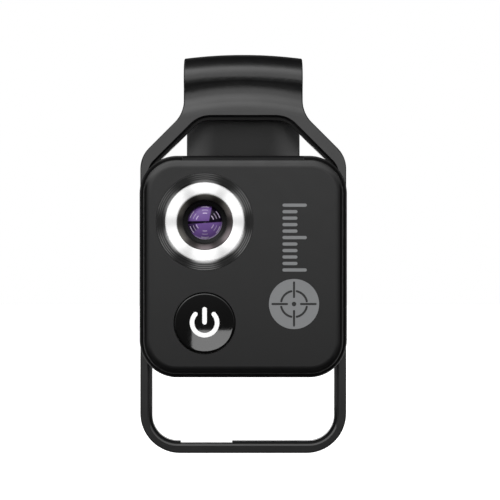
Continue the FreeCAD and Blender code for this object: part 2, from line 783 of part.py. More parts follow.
def make_lens(label, front, rear, sphere):
    """Lens with a ground front dome, a flat seat round it for the ring, and a flat rear face."""
    body = lens_body(label)
    sketch = new_sketch(body, "level", "0", [])
    reach, ball = value("retainer_bore - fit_gap / 2"), value(sphere)
    seat, back, edge = value(front), value(rear), value("glass_radius")
    middle = seat + math.sqrt(ball ** 2 - reach ** 2)
    normal = FreeCAD.Vector(0, 0, 1)
    spread = math.asin(reach / ball)
    circle = Part.Circle(FreeCAD.Vector(0, middle, 0), normal, ball)
    dome = sketch.addGeometry(Part.ArcOfCircle(circle, -math.pi / 2, spread - math.pi / 2), False)
    path = [(reach, seat), (edge, seat), (edge, back), (0, back), (0, middle - ball)]
    vectors = [FreeCAD.Vector(x, y, 0) for x, y in path]
    lines = [sketch.addGeometry(Part.LineSegment(a, b), False) for a, b in zip(vectors, vectors[1:])]
    rules = [Sketcher.Constraint("Coincident", dome, 2, lines[0], 1)]
    rules += [Sketcher.Constraint("Coincident", a, 2, b, 1) for a, b in zip(lines, lines[1:])]
    rules += [Sketcher.Constraint("Coincident", lines[-1], 2, dome, 1),
              Sketcher.Constraint("PointOnObject", dome, 3, -2)]
    held = [("Radius", (dome,), sphere)]
    for i, (x, y) in enumerate((("retainer_bore - fit_gap / 2", front), ("glass_radius", front),
                                ("glass_radius", rear), ("0", rear))):
        held += [("DistanceX", (-1, 1, lines[i], 1), x), ("DistanceY", (-1, 1, lines[i], 1), y)]
    held.append(("DistanceX", (-1, 1, dome, 1), "0"))
    sizes = []
    for kind, where, text in held:
        sizes.append((len(rules), text))
        rules.append(Sketcher.Constraint(kind, *where, value(text)))
    add_rules(sketch, rules, sizes)
    feature = body.newObject("PartDesign::Revolution", label + "_revolution")
    feature.Profile = sketch
    feature.ReferenceAxis = (sketch, ["V_Axis"])
    feature.Angle = 360
    return body


def make_rear_window():
    body = lens_body("rear_window")
    extrude(body, "front", [disc("rear_window_radius")],
            "plate_front", "plate_front - rear_window_thickness")
    return body


def make_eyepiece_pad():
    """Soft ring round the eyepiece that meets the phone."""
    body = lens_body("eyepiece_pad")
    turn(body, [("eyepiece_pad_bore", "plate_rear - eyepiece_pad_sink", None),
                ("eyepiece_pad_radius", "plate_rear - eyepiece_pad_sink", None),
                ("eyepiece_pad_radius", "plate_rear + eyepiece_pad_rise", "eyepiece_pad_rise / 2"),
                ("eyepiece_pad_bore", "plate_rear + eyepiece_pad_rise", "eyepiece_pad_rise / 2")])
    return body


def make_lamps():
    """Lamps soldered round the ring-shaped board."""
    body = lens_body("leds")
    body.AllowCompound = True
    lamp = rectangle("lamp_size / 2", "lamp_size / 2", None, "lamp_circle", "0")
    first = extrude(body, "front", [lamp], "lamp_board_front", "lamp_board_front - lamp_height")
    pattern = body.newObject("PartDesign::PolarPattern", "leds_pattern")
    pattern.Originals = [first]
    axis = next(item for item in body.Origin.OriginFeatures if item.Role == "Y_Axis")
    pattern.Axis = (axis, [""])
    pattern.Angle = 360
    pattern.Occurrences = LAMPS
    body.Tip = pattern
    return body


# Boards, switch, socket and battery
def make_main_board():
    body = new_body("main_board", z="module_z")
    inset = "shell_wall + board_gap"
    extrude(body, "front", [module_outline(inset)], "board_rear", "board_front")
    holes = [disc("barrel_tail_radius + fit_gap", "lens_x", "lens_above_middle")]
    holes += [disc("screw_hole", x, z) for x, z in SCREW_PLACES]
    extrude(body, "front", holes, "board_front", "board_rear", "Pocket")
    return body


def make_chips():
    """Charging and lamp driver chips on the board's rear face."""
    body = new_body("board_chips", x="battery_x", z="module_z")
    body.AllowCompound = True
    chips = [rectangle("chip_size / 2", "chip_size / 2", None, "0", "%d * chip_pitch" % step)
             for step in (-1, 0, 1)]
    extrude(body, "front", chips, "board_rear", "board_rear + chip_thickness")
    return body


def make_switch_body():
    body = new_body("switch_body", x="lens_x", z="button_z")
    extrude(body, "front", [rectangle("switch_size / 2", "switch_size / 2", "switch_corner")],
            "board_front", "switch_front")
    extrude(body, "front", [disc("plunger_radius + plunger_gap")], "switch_front",
            "plunger_rear + button_travel + plunger_gap", "Pocket")
    return body


def make_switch_plunger():
    body = new_body("switch_plunger", x="lens_x", z="button_z")
    extrude(body, "front", [disc("plunger_radius")], "plunger_rear", "post_rear")
    return body


def make_power_button():
    """Crowned round cap, held behind the front cover by its flange."""
    body = new_body("power_button", x="lens_x", z="button_z")
    turn(body, [("0", "button_face", None),
                ("button_radius / 2", "button_face", "button_crown_round"),
                ("button_radius", "button_face + button_crown", "button_edge_round"),
                ("button_radius", "flange_front", None),
                ("button_radius + button_flange_reach", "flange_front", None),
                ("button_radius + button_flange_reach", "flange_rear", None),
                ("button_post_radius", "flange_rear", None),
                ("button_post_radius", "post_rear", None),
                ("0", "post_rear", None)])
    return body


def make_charge_socket():
    """Steel shell of the charging socket, open at the module's foot."""
    body = new_body("charge_socket", x="lens_x", z="module_z")
    shell = rectangle("socket_width / 2", "socket_height / 2", "socket_corner", "0", "socket_y")
    room = rectangle("socket_width / 2 - socket_wall", "socket_height / 2 - socket_wall",
                     "socket_corner - socket_wall", "0", "socket_y")
    extrude(body, "level", [shell], "socket_foot", "socket_foot + socket_depth")
    extrude(body, "level", [room], "socket_foot", "socket_foot + socket_depth - socket_wall", "Pocket")
    return body


def make_socket_tongue():
    body = new_body("socket_tongue", x="lens_x", z="module_z")
    tongue = rectangle("tongue_width / 2", "tongue_thickness / 2", None, "0", "socket_y")
    root = "socket_foot + socket_depth - socket_wall"
    extrude(body, "level", [tongue], root, root + " - tongue_length")
    return body


def battery_slab(label, front, rear):
    body = new_body(label, x="battery_x", z="module_z")
    extrude(body, "front", [rectangle("battery_half", "battery_half_z", "battery_round")], rear, front)
    return body


def make_all():
    """Every sub-part, from the clip inwards."""
    glass = "glass_radius"
    return [
        make_clip_frame(),
        make_jaw_pad(),
        make_main_housing(),
        make_front_cover(),
        make_back_cover(),
        make_screws(),
        make_bezel_ring(),
        make_light_ring(),
        make_lens_barrel(),
        make_lens_retainer(),
        make_lens("objective_lens", "retainer_rear", "objective_rear", "objective_sphere"),
        turned_ring("lens_spacer", "glass_radius - spacer_wall", glass, "objective_rear", "spacer_rear"),
        make_lens("second_lens", "spacer_rear", "second_rear", "second_sphere"),
        turned_ring("aperture_stop", "aperture_radius", glass, "second_rear", "aperture_rear"),
        make_rear_window(),
        make_eyepiece_pad(),
        turned_ring("led_board", "diffuser_bore", "lamp_board_radius",
                    "lamp_board_front", "lamp_board_rear"),
        make_lamps(),
        make_main_board(),
        make_chips(),
        make_switch_body(),
        make_switch_plunger(),
        make_power_button(),
        make_charge_socket(),
        make_socket_tongue(),
        battery_slab("battery", "battery_front", "battery_rear"),
        battery_slab("battery_tape", "battery_rear", "floor"),
    ]


def main():
    parts = make_all()
    document.recompute()
    faults = [item.Name for item in document.Objects if {"Invalid", "Error"} & set(item.State)]
    faults += [part.Label for part in parts if part.Shape.isNull() or not part.Shape.isValid()]
    if faults:
        raise RuntimeError("these objects failed: %s" % faults)
    os.makedirs("parts", exist_ok=True)
    for part in parts:
        part.Shape.exportStep("parts/%s.step" % part.Label)
        print("%-16s %d solids %9.2f mm3" % (part.Label, len(part.Shape.Solids), part.Shape.Volume))


main()
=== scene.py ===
"""Looks of a clip-on phone microscope: finishes, printed marks, button cap, coated lens and plain studio."""
import math

import bmesh
import bpy
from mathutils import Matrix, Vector


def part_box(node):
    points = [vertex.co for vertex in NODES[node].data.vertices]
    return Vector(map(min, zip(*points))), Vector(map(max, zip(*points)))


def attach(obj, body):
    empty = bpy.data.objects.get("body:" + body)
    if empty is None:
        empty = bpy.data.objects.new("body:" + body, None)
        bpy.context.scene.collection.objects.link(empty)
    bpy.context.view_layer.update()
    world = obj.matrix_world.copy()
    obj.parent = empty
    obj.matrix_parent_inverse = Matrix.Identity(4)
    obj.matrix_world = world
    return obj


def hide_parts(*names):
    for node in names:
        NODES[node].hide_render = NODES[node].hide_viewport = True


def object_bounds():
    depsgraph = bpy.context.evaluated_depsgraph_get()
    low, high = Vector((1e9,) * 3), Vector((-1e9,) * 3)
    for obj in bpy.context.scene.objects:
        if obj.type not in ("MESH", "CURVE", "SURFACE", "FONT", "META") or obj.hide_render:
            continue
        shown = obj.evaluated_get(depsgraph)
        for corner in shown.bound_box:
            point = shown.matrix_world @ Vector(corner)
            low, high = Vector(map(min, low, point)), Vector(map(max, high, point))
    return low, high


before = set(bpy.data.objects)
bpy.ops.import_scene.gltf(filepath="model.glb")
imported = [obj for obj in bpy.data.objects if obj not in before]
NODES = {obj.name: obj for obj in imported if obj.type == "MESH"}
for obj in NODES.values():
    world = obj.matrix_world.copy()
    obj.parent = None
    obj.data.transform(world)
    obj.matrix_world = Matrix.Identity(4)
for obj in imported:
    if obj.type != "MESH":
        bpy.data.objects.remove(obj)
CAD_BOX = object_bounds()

bl_info = {
    "name": "Clip-on Phone Microscope",
    "version": (1, 0, 0),
    "blender": (4, 5, 0),
    "location": "View3D > Sidebar > Clip Lens",
    "description": "Dresses the packed clip-on microscope with its finishes, marks and studio",
    "category": "Object",
}

MM = 0.001
PHOTO_PIXELS = 500


def middle(node):
    low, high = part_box(node)
    return (low + high) / 2


LENS = middle("bezel_ring")
BUTTON = middle("power_button")
COVER_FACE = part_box("front_cover")[0].y
BUTTON_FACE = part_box("power_button")[0].y
LOOP_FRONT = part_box("clip_frame")[0].y


# Sizes and colours that a user would change
def length(name, description, millimetres):
    return bpy.props.FloatProperty(name=name, description=description, default=millimetres * MM,
                                   unit="LENGTH", min=0.0)


def place(name, description, millimetres):
    return bpy.props.FloatProperty(name=name, description=description, default=millimetres * MM,
                                   unit="LENGTH")


def share(name, description, level):
    return bpy.props.FloatProperty(name=name, description=description, default=level, min=0.0, max=1.0,
                                   subtype="FACTOR")


def pixels(name, description, count):
    return bpy.props.FloatProperty(name=name, description=description, default=count, subtype="PIXEL")


def colour(name, description, red, green, blue):
    return bpy.props.FloatVectorProperty(name=name, description=description, subtype="COLOR",
                                         default=(red, green, blue), min=0.0, max=1.0)


class ClipLensFinish(bpy.types.PropertyGroup):
    clip_black: colour("Clip", "Colour of the moulded clip", 0.0045, 0.0045, 0.0047)
    clip_roughness: share("Clip roughness", "Roughness of the clip's satin surface", 0.3)
    shell_black: colour("Housing", "Colour of the module's shells", 0.0045, 0.0045, 0.0047)
    shell_roughness: share("Housing roughness", "Roughness of the module's matte shells", 0.38)
    bezel_black: colour("Bezel", "Colour of the turned bezel", 0.008, 0.008, 0.008)
    barrel_brown: colour("Barrel", "Colour of the barrel's anodised cone", 0.0075, 0.0065, 0.005)
    coating: colour("Coating", "Colour of the lens coating", 0.185, 0.1, 0.335)
    lamp_white: colour("Lamp ring", "Colour of the lamp's diffuser", 0.86, 0.86, 0.86)
    button_black: colour("Button", "Colour of the polished button", 0.003, 0.003, 0.003)
    print_grey: colour("Print", "Colour of the marks printed on the cover", 0.205, 0.21, 0.215)
    symbol_white: colour("Symbol", "Colour of the power symbol", 0.86, 0.86, 0.86)


class ClipLensMarks(bpy.types.PropertyGroup):
    ink: length("Ink", "Thickness of the printed marks", 0.02)
    scale_left: place("Scale, left", "Left end of the scale's ticks", 7.55)
    scale_top: place("Scale, top", "Upper end of the scale", 9.35)
    scale_height: length("Scale height", "Height of the scale", 13.1)
    tick_long: length("Long tick", "Length of every fifth tick", 4.7)
    tick_short: length("Short tick", "Length of the ticks between", 2.9)
    tick_width: length("Tick width", "Width of a tick", 0.62)
    target_x: place("Disc, across", "Middle of the target disc", 9.78)
    target_z: place("Disc, up", "Middle of the target disc", -10.0)
    target_radius: length("Disc radius", "Radius of the target disc", 4.83)
    symbol_radius: length("Symbol radius", "Middle radius of the power symbol's ring", 2.41)
    symbol_stroke: length("Symbol stroke", "Width of the power symbol's lines", 0.88)


class ClipLensStage(bpy.types.PropertyGroup):
    camera_distance: length("Camera distance", "From the camera to the plane of the loop's front", 240.0)
    focal_pixels: pixels("Focal length", "Focal length in pixels of the photograph's frame", 1195.0)
    middle_x: pixels("Middle, across", "Column of the clip's centre line in that frame", 243.25)
    middle_y: pixels("Middle, down", "Row at half the clip's height in that frame", 252.1)
    floor_drop: length("Floor drop", "From the clip's foot down to the floor", 60.0)


# Node material helpers
NOISE_BAND = (0.3, 0.7)  # most of a noise lies between these levels


def new_material(name, **settings):
    """A node material whose shader sockets hold the settings that are the same all over."""
    material = bpy.data.materials.new(name)
    material.use_nodes = True
    tree = material.node_tree
    shader = tree.nodes["Principled BSDF"]
    for socket, setting in settings.items():
        shader.inputs[socket.replace("_", " ")].default_value = setting
    return material, tree, shader


def new_node(tree, kind, **inputs):
    """A node with its sockets set or linked."""
    node = tree.nodes.new(kind)
    for socket, setting in inputs.items():
        feed(tree, node.inputs[socket.replace("_", " ")], setting)
    return node


def feed(tree, socket, given):
    """Set a socket to a plain setting, or link it to a (node, output) pair."""
    if isinstance(given, tuple) and isinstance(given[0], bpy.types.Node):
        tree.links.new(given[0].outputs[given[1]], socket)
    else:
        socket.default_value = given


def calc(tree, operation, first, second=0.0):
    node = tree.nodes.new("ShaderNodeMath")
    node.operation = operation
    feed(tree, node.inputs[0], first)
    feed(tree, node.inputs[1], second)
    return node, "Value"


def product(tree, first, *others):
    for other in others:
        first = calc(tree, "MULTIPLY", first, other)
    return first


def total(tree, first, *others):
    for other in others:
        first = calc(tree, "ADD", first, other)
    return first


def fade(tree, source, start, end, low=0.0, high=1.0):
    """A smooth change from low to high while the source goes from start to end."""
    node = new_node(tree, "ShaderNodeMapRange", From_Min=start, From_Max=end, To_Min=low, To_Max=high)
    node.interpolation_type = "SMOOTHSTEP"
    feed(tree, node.inputs["Value"], source)
    return node, "Result"


def between(tree, source, low, high, soft):
    """1 while the source lies between two levels, with soft ends."""
    rise = fade(tree, source, low - soft, low + soft)
    fall = fade(tree, source, high - soft, high + soft, 1.0, 0.0)
    return product(tree, rise, fall)


def flat_at(tree, y, level, reach=0.1 * MM, soft=0.02 * MM):
    """1 on a face square to Y at this depth."""
    return between(tree, y, level - reach, level + reach, soft)


def blend(tree, factor, first, second):
    """A mix of two colours."""
    node = tree.nodes.new("ShaderNodeMix")
    node.data_type = "RGBA"
    feed(tree, node.inputs[0], factor)
    feed(tree, node.inputs[6], first)
    feed(tree, node.inputs[7], second)
    return node, 2


def ramp(tree, source, stops, low=0.0, high=1.0):
    """A grey ramp over a value; stops are (value, level) pairs."""
    spread = new_node(tree, "ShaderNodeMapRange", Value=source, From_Min=low, From_Max=high)
    node = tree.nodes.new("ShaderNodeValToRGB")
    while len(node.color_ramp.elements) < len(stops):
        node.color_ramp.elements.new(0.5)
    for element, (value, level) in zip(node.color_ramp.elements, stops):
        element.position = (value - low) / (high - low)
        element.color = grey(level)
    feed(tree, node.inputs["Fac"], (spread, "Result"))
    return node, "Color"


def noise(tree, scale, detail=2.0):
    """Noise on the object's own coordinates; the scale is in cells per metre."""
    coords = tree.nodes.new("ShaderNodeTexCoord")
    node = new_node(tree, "ShaderNodeTexNoise", Vector=(coords, "Object"), Scale=scale, Detail=detail)
    return node, "Fac"


def split(tree, kind, output):
    """X, Y and Z of a source node's output."""
    parts = new_node(tree, "ShaderNodeSeparateXYZ", Vector=(tree.nodes.new(kind), output))
    return (parts, "X"), (parts, "Y"), (parts, "Z")


def own_place(tree):
    """X, Y and Z of the object's own coordinates."""
    return split(tree, "ShaderNodeTexCoord", "Object")


def own_normal(tree):
    """X, Y and Z of the surface's direction; Y is -1 where it faces the front."""
    return split(tree, "ShaderNodeNewGeometry", "Normal")


def polar(tree, centre):
    """Radius, angle in radians from +X towards +Z, and distances along X and Z, from an axis along Y."""
    x, _, z = own_place(tree)
    across = calc(tree, "SUBTRACT", x, centre.x)
    up = calc(tree, "SUBTRACT", z, centre.z)
    squares = total(tree, product(tree, across, across), product(tree, up, up))
    return calc(tree, "SQRT", squares), calc(tree, "ARCTAN2", up, across), across, up


def ripples(tree, radius, pitch):
    """A sine wave over the radius, from -1 to 1."""
    return calc(tree, "SINE", product(tree, radius, 2 * math.pi / pitch))


def six_sectors(tree, angle, power=1.0):
    """A wave that is 1 at 30 degrees and every 60 degrees on, and 0 halfway between."""
    wave = fade(tree, calc(tree, "COSINE", product(tree, angle, 6.0)), 1.0, -1.0)
    return calc(tree, "POWER", wave, power)


def lower_right(tree, angle, mean, swing):
    """A factor that is largest towards the lower right, where the painted sheen on the turned rings is
    strongest.
    """
    turned_angle = total(tree, angle, math.radians(60))
    return total(tree, mean, product(tree, calc(tree, "COSINE", turned_angle), swing))


def near_angle(tree, angle, degrees, reach):
    """1 at one direction, fading out over a reach on both sides."""
    turned_angle = calc(tree, "COSINE", calc(tree, "SUBTRACT", angle, math.radians(degrees)))
    return fade(tree, turned_angle, math.cos(math.radians(reach)), math.cos(math.radians(reach / 4)))


def grey(level):
    return [level, level, level, 1.0]


def tint(base, factor=1.0):
    return [min(1.0, channel * factor) for channel in base[:3]] + [1.0]


def bump(tree, shader, height, depth, strength=1.0):
    node = new_node(tree, "ShaderNodeBump", Height=height, Distance=depth, Strength=strength)
    feed(tree, shader.inputs["Normal"], (node, "Normal"))


def wander(tree, shader, source, low, high):
    """Roughness that wanders between two levels as a noise does."""
    feed(tree, shader.inputs["Roughness"], fade(tree, source, *NOISE_BAND, low, high))


def facing(tree, mask, tip, keep=0.4):
    """Leans that turn an edge where the mask is 1 to face the front, tipped up or down."""
    across, _, up = own_normal(tree)
    return (product(tree, across, mask, keep - 1.0),
            product(tree, calc(tree, "SUBTRACT", tip, up), mask))


def lean_normals(tree, x_lean, z_lean):
    """Lean the surface that the grain lies on, by slopes along X and Z."""
    geometry = tree.nodes.new("ShaderNodeNewGeometry")
    lean = new_node(tree, "ShaderNodeCombineXYZ", X=x_lean, Z=z_lean)
    tilted, unit = (tree.nodes.new("ShaderNodeVectorMath") for _ in range(2))
    feed(tree, tilted.inputs[0], (geometry, "Normal"))
    feed(tree, tilted.inputs[1], (lean, "Vector"))
    unit.operation = "NORMALIZE"
    feed(tree, unit.inputs[0], (tilted, "Vector"))
    grain = next(node for node in tree.nodes if node.type == "BUMP")
    feed(tree, grain.inputs["Normal"], (unit, "Vector"))


def moulded(name, base, roughness, grain=2400.0, depth=0.004 * MM, spread=0.15, **settings):
    """Moulded stuff: faint mottling, roughness that wanders a little, and a fine spark-eroded grain."""
    material, tree, shader = new_material(name, **settings)
    feed(tree, shader.inputs["Base Color"],
         blend(tree, noise(tree, 150.0, 4.0), tint(base, 1 - spread), tint(base, 1 + spread)))
    wander(tree, shader, noise(tree, 320.0), roughness * 0.95, roughness * 1.05)
    bump(tree, shader, noise(tree, grain, 3.0), depth)
    return material


def brushed(name, base, roughness, stretch=40.0, depth=0.002 * MM, **settings):
    """Metal with fine lines drawn along X."""
    material, tree, shader = new_material(name, Metallic=1.0, **settings)
    coords = tree.nodes.new("ShaderNodeTexCoord")
    squeeze = new_node(tree, "ShaderNodeMapping", Vector=(coords, "Object"), Scale=(1.0, stretch, stretch))
    texture = new_node(tree, "ShaderNodeTexNoise", Vector=(squeeze, "Vector"), Scale=400.0, Detail=3.0)
    lines = (texture, "Fac")
    feed(tree, shader.inputs["Base Color"], blend(tree, lines, tint(base, 0.88), tint(base, 1.1)))
    wander(tree, shader, lines, roughness * 0.85, roughness * 1.15)
    bump(tree, shader, lines, depth)
    return material


def dress(material, *names):
    """Give CAD nodes a finish."""
    for name in names:
        NODES[name].data.materials.clear()
        NODES[name].data.materials.append(material)


# Mesh helpers
def new_piece(name, work, material, body, sharp=35.0):
    """Turn a bmesh into a piece that rides on a body."""
    bmesh.ops.recalc_face_normals(work, faces=work.faces)
    mesh = bpy.data.meshes.new(name)
    work.to_mesh(mesh)
    work.free()
    for face in mesh.polygons:
        face.use_smooth = True
    mesh.set_sharp_from_angle(angle=math.radians(sharp))
    mesh.materials.append(material)
    piece = bpy.data.objects.new(name, mesh)
    bpy.context.scene.collection.objects.link(piece)
    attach(piece, body)
    return piece


def turned(work, profile, centre, steps=96):
    """Turn a profile of (radius, y) corners, open or ending on the axis, about an axis along Y."""
    rings = []
    for radius, y in profile:
        if radius == 0:
            rings.append([work.verts.new((centre.x, y, centre.z))])
            continue
        rings.append([work.verts.new((centre.x + radius * math.cos(2 * math.pi * i / steps), y,
                                      centre.z + radius * math.sin(2 * math.pi * i / steps)))
                      for i in range(steps)])
    for first, second in zip(rings, rings[1:]):
        for i in range(steps):
            corners = [first[i % len(first)], first[(i + 1) % len(first)],
                       second[(i + 1) % len(second)], second[i % len(second)]]
            unique = list(dict.fromkeys(corners))
            if len(unique) > 2:
                work.faces.new(unique)


def rounded(corner, radius, before, after, steps=8):
    """Points of a fillet at a profile's corner."""
    corner, before, after = Vector(corner), Vector(before), Vector(after)
    back, ahead = (before - corner).normalized(), (after - corner).normalized()
    half = back.angle(ahead) / 2
    centre = corner + (back + ahead).normalized() * (radius / math.sin(half))
    start, end = corner + back * (radius / math.tan(half)), corner + ahead * (radius / math.tan(half))
    spokes = (start - centre, end - centre)
    turn = spokes[0].angle_signed(spokes[1])
    first = math.atan2(spokes[0].y, spokes[0].x)
    return [(centre.x + radius * math.cos(first - turn * i / steps),
             centre.y + radius * math.sin(first - turn * i / steps)) for i in range(steps + 1)]


def stroke(work, points, width, level, depth, caps=10):
    """A flat line of even width with round ends, drawn in X and Z on a surface y = level(x, z)."""
    loops = []
    for i, point in enumerate(points):
        ahead = (points[min(i + 1, len(points) - 1)] - points[max(i - 1, 0)]).normalized()
        side = Vector((-ahead.y, ahead.x)) * width / 2
        loops.append((point + side, point - side, ahead))

    def cap(centre, away, side):
        turns = [math.pi * k / caps for k in range(1, caps)]
        return [centre + side * math.cos(turn) + away * (width / 2) * math.sin(turn) for turn in turns]

    last, first = loops[-1], loops[0]
    outline = [left for left, _, _ in loops]
    outline += cap(points[-1], last[2], last[0] - points[-1])
    outline += [right for _, right, _ in reversed(loops)]
    outline += cap(points[0], -first[2], first[1] - points[0])
    top = [work.verts.new((p.x, level(p.x, p.y), p.y)) for p in outline]
    low = [work.verts.new((p.x, level(p.x, p.y) + depth, p.y)) for p in outline]
    count, ends = len(loops), caps - 1
    for side, verts in ((1, top), (-1, low)):
        def face(corners):
            work.faces.new(corners if side == 1 else corners[::-1])
        right = verts[count + ends:2 * count + ends]
        for i in range(count - 1):
            face([verts[i], verts[i + 1], right[count - 2 - i], right[count - 1 - i]])
        face(verts[count - 1:count + ends + 1])
        face(verts[2 * count + ends - 1:] + [verts[0]])
    for i in range(len(outline)):
        j = (i + 1) % len(outline)
        work.faces.new((top[j], top[i], low[i], low[j]))


def arc_points(x, z, radius, start, end, steps):
    """Points of an arc from one angle to another, in degrees."""
    angles = [math.radians(start + (end - start) * i / steps) for i in range(steps + 1)]
    return [Vector((x + radius * math.cos(a), z + radius * math.sin(a))) for a in angles]


def line_points(x0, z0, x1, z1, steps=1):
    return [Vector((x0 + (x1 - x0) * i / steps, z0 + (z1 - z0) * i / steps)) for i in range(steps + 1)]


# Spring clip. Leans and tips are slopes, and two levels in brackets are where a change starts and ends
class CLIPLENS_OT_clip(bpy.types.Operator):
    """Finish the moulded spring clip in satin black and its jaw pad in soft silicone"""
    bl_idname = "cliplens.clip"
    bl_label = "Spring Clip"
    # Rear arm: its wall and half width, and the hollow of its face by share of the width and by height
    arm_wall, arm_half, arm_share = 2.2 * MM, 11.6 * MM, (1.0, 0.45)
    arm_heights, arm_soft, arm_lean = (9.4 * MM, 32.0 * MM), 2.0 * MM, -0.12
    # Lip in the window: its depth, the upper stretch that the window's edge shades, and the foot
    lip_depth, lip_heights, lip_soft, lip_lean = 0.9 * MM, (13.0 * MM, 28.0 * MM), 0.8 * MM, -0.2
    foot_heights, foot_lean = (-30.0 * MM, -36.0 * MM), -0.15
    # Hollow of the bend: leans by height in millimetres, how it bows over the width per metre, how much
    # the ramp stretches the leans, and the depth where the bend's front ends
    bend_leans = ((24.0, 0.0), (30.5, 0.0), (31.5, -0.05), (32.6, -0.11), (33.6, -0.09), (34.8, -0.05),
                  (36.2, 0.0), (40.0, 0.0))
    bend_bow, bend_stretch, bend_depth = 9.0, 5.0, (2.0 * MM, 1.0 * MM)
    # Window's lower chamfer, which catches the light
    chamfer_depths, chamfer_depth_soft = (0.05 * MM, 0.85 * MM), 0.02 * MM
    chamfer_heights, chamfer_height_soft = (-39.0 * MM, -31.0 * MM), 0.1 * MM
    chamfer_half, chamfer_tip, chamfer_keep = (18.8 * MM, 18.6 * MM), 0.2, 0.3
    # Loop's outer edges, which lie in shade: how far they turn outwards and to the front, foot and rear
    outline_out, outline_front, outline_soft = (0.2, 0.35), (-0.95, -0.4), 0.04
    outline_foot, outline_rear, outline_tip = (-39.1 * MM, -39.3 * MM), (1.0 * MM, 0.0), -0.35

    def execute(self, context):
        look = context.scene.cliplens_finish
        satin = moulded("clip_satin", look.clip_black, look.clip_roughness, Specular_IOR_Level=0.62)
        self.lean_faces(satin.node_tree)
        dress(satin, "clip_frame")
        dress(moulded("silicone_black", (0.012, 0.012, 0.012), 0.62, grain=1500.0, spread=0.2),
              "jaw_pad", "eyepiece_pad")
        return {"FINISHED"}

    def lean_faces(self, tree):
        """Lean the arm's face, the lip, the bend, the window's lower chamfer and the loop's outer edges."""
        low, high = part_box("clip_frame")
        x, y, z = own_place(tree)
        arm = self.lean_arm(tree, x, z, flat_at(tree, y, high.y - self.arm_wall))
        lip = self.lean_lip(tree, z, flat_at(tree, y, low.y + self.lip_depth))
        bend = self.lean_bend(tree, x, y, z)
        chamfer_x, chamfer_z = self.light_chamfer(tree, x, y, z, low.y)
        outline_x, outline_z = self.shade_outline(tree, x, y, z)
        lean_normals(tree, total(tree, chamfer_x, outline_x),
                     total(tree, arm, lip, bend, chamfer_z, outline_z))

    def lean_arm(self, tree, x, z, on_arm):
        across = calc(tree, "ABSOLUTE", calc(tree, "DIVIDE", x, self.arm_half))
        on_arm = product(tree, on_arm, between(tree, z, *self.arm_heights, self.arm_soft))
        return product(tree, fade(tree, across, *self.arm_share), on_arm, self.arm_lean)

    def lean_lip(self, tree, z, on_lip):
        upper = product(tree, between(tree, z, *self.lip_heights, self.lip_soft), self.lip_lean)
        lower = product(tree, fade(tree, z, *self.foot_heights), self.foot_lean)
        return product(tree, on_lip, total(tree, upper, lower))

    def lean_bend(self, tree, x, y, z):
        bowed = total(tree, z, product(tree, x, x, self.bend_bow))
        stops = [(height * MM, 0.5 + lean * self.bend_stretch) for height, lean in self.bend_leans]
        level = ramp(tree, bowed, stops, stops[0][0], stops[-1][0])
        lean = product(tree, calc(tree, "SUBTRACT", level, 0.5), 1 / self.bend_stretch)
        return product(tree, lean, fade(tree, y, *self.bend_depth))

    def light_chamfer(self, tree, x, y, z, front):
        near, far = (front + depth for depth in self.chamfer_depths)
        mask = product(tree, between(tree, y, near, far, self.chamfer_depth_soft),
                       between(tree, z, *self.chamfer_heights, self.chamfer_height_soft),
                       fade(tree, calc(tree, "ABSOLUTE", x), *self.chamfer_half))
        return facing(tree, mask, self.chamfer_tip, self.chamfer_keep)

    def shade_outline(self, tree, x, y, z):
        sideways, away, _ = own_normal(tree)
        outwards = product(tree, sideways, calc(tree, "SIGN", x))
        outside = calc(tree, "MAXIMUM", fade(tree, outwards, *self.outline_out),
                       fade(tree, z, *self.outline_foot))
        mask = product(tree, outside, between(tree, away, *self.outline_front, self.outline_soft),
                       fade(tree, y, *self.outline_rear))
        return facing(tree, mask, self.outline_tip)


